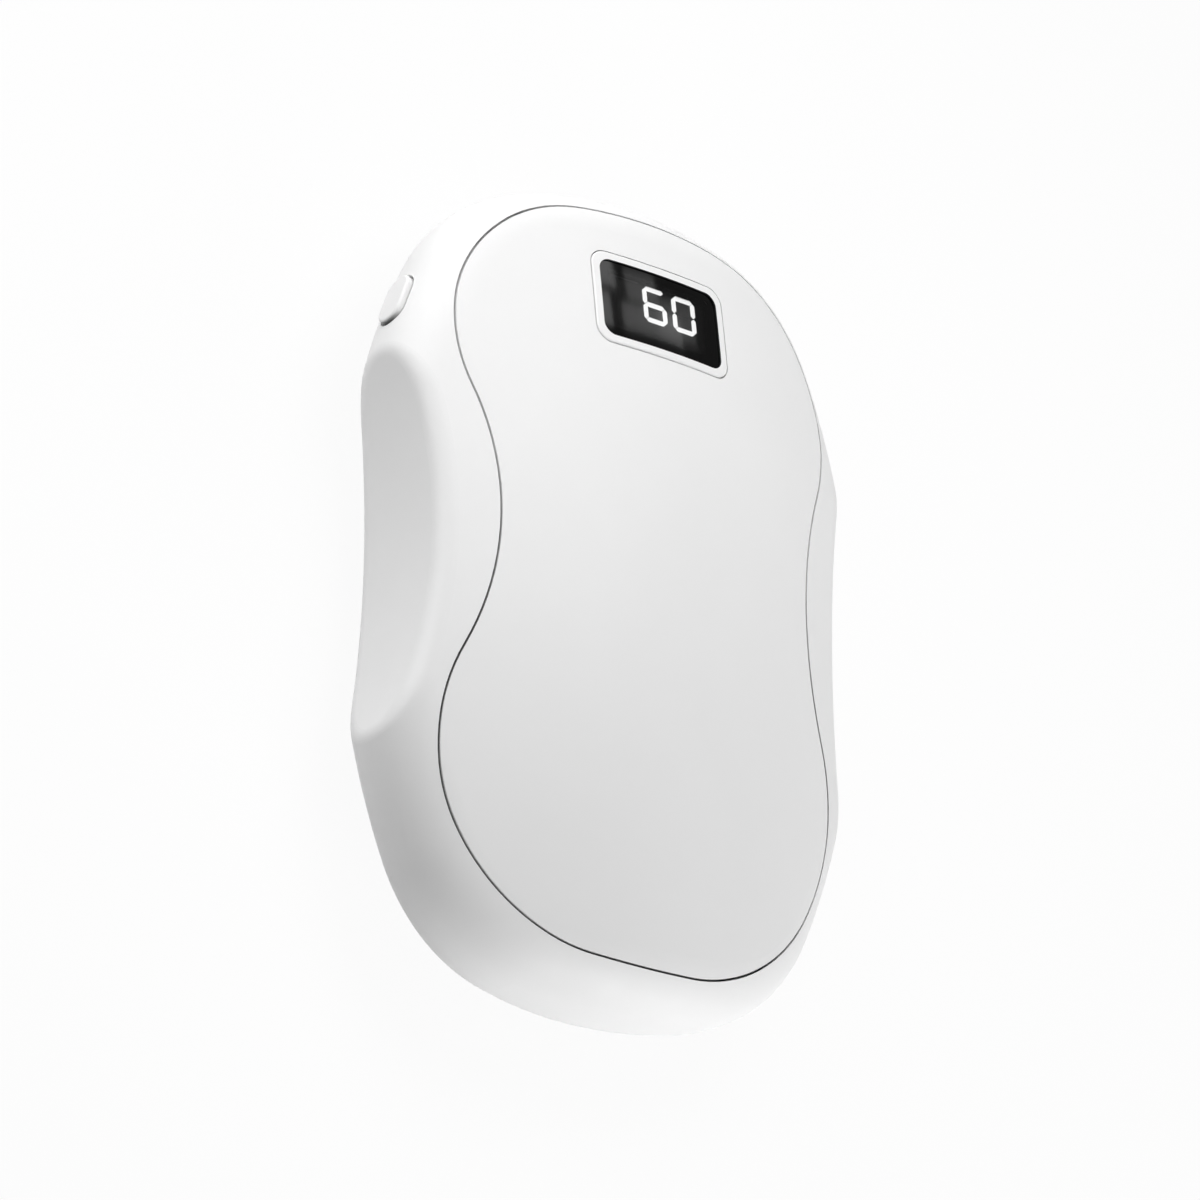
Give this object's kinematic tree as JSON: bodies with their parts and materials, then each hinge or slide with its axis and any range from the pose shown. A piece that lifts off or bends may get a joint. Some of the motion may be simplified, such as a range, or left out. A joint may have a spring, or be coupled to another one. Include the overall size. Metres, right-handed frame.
{
  "type": "rechargeable hand warmer",
  "caption": "Pebble-shaped rechargeable hand warmer with finger scoops, inset face panels, a small number display near one end, a shoulder push button and a charging inlet.",
  "frame": {"origin": "centre of the body in plan, on the flat at the bottom of the rear panel that it rests on", "axes": "+X across the width, button on the -X side; +Y towards the display end; +Z out of the display face"},
  "size_m": [0.0696, 0.106, 0.028],
  "materials": {
    "white_shell": "satin moulded",
    "smoked_window": "polished smoked",
    "lit_segment": "lit diffuser",
    "dark_segment": "unlit diffuser",
    "black_plastic": "satin",
    "tray_plastic": "satin",
    "cream_plastic": "satin",
    "circuit_board": "solder mask",
    "heat_plate": "rolled",
    "heater_film": "polyimide film",
    "foam": "soft foam",
    "cell_foil": "pouch foil",
    "steel": "plated",
    "ferrite": "pressed ferrite",
    "red_wire": "wire insulation",
    "black_wire": "wire insulation",
    "white_wire": "wire insulation"
  },
  "bodies": {
    "warmer": {"main_housing": "white_shell", "front_cover": "white_shell", "rear_cover": "white_shell", "display_bezel": "white_shell", "display_lens": "smoked_window", "display_block": "black_plastic", "display_board": "circuit_board", "digit_segments_lit": "lit_segment", "digit_segments_dark": "dark_segment", "front_heat_plate": "heat_plate", "rear_heat_plate": "heat_plate", "front_heater_film": "heater_film", "rear_heater_film": "heater_film", "front_foam": "foam", "rear_foam": "foam", "thermistors": "black_plastic", "battery_tray": "tray_plastic", "rear_cell": "cell_foil", "front_cell": "cell_foil", "cell_tabs": "steel", "protection_board": "circuit_board", "main_board": "circuit_board", "usb_receptacle": "steel", "usb_tongue": "black_plastic", "lead_sockets": "cream_plastic", "control_chips": "black_plastic", "power_inductor": "ferrite", "chip_capacitors": "cream_plastic", "display_header": "black_plastic", "battery_lead_red": "red_wire", "battery_lead_black": "black_wire", "heater_leads": "white_wire", "tray_screws": "steel", "board_screws": "steel", "tact_switch": "black_plastic"},
    "button": {"power_button": "white_shell", "switch_plunger": "black_plastic"}
  },
  "joints": [
    {"name": "button_press", "type": "slide", "parent": "warmer", "child": "button", "axis": [0.9426, -0.3338, 0], "range_m": [0, 0.0005], "stiffness_N_per_m": 600}
  ]
}
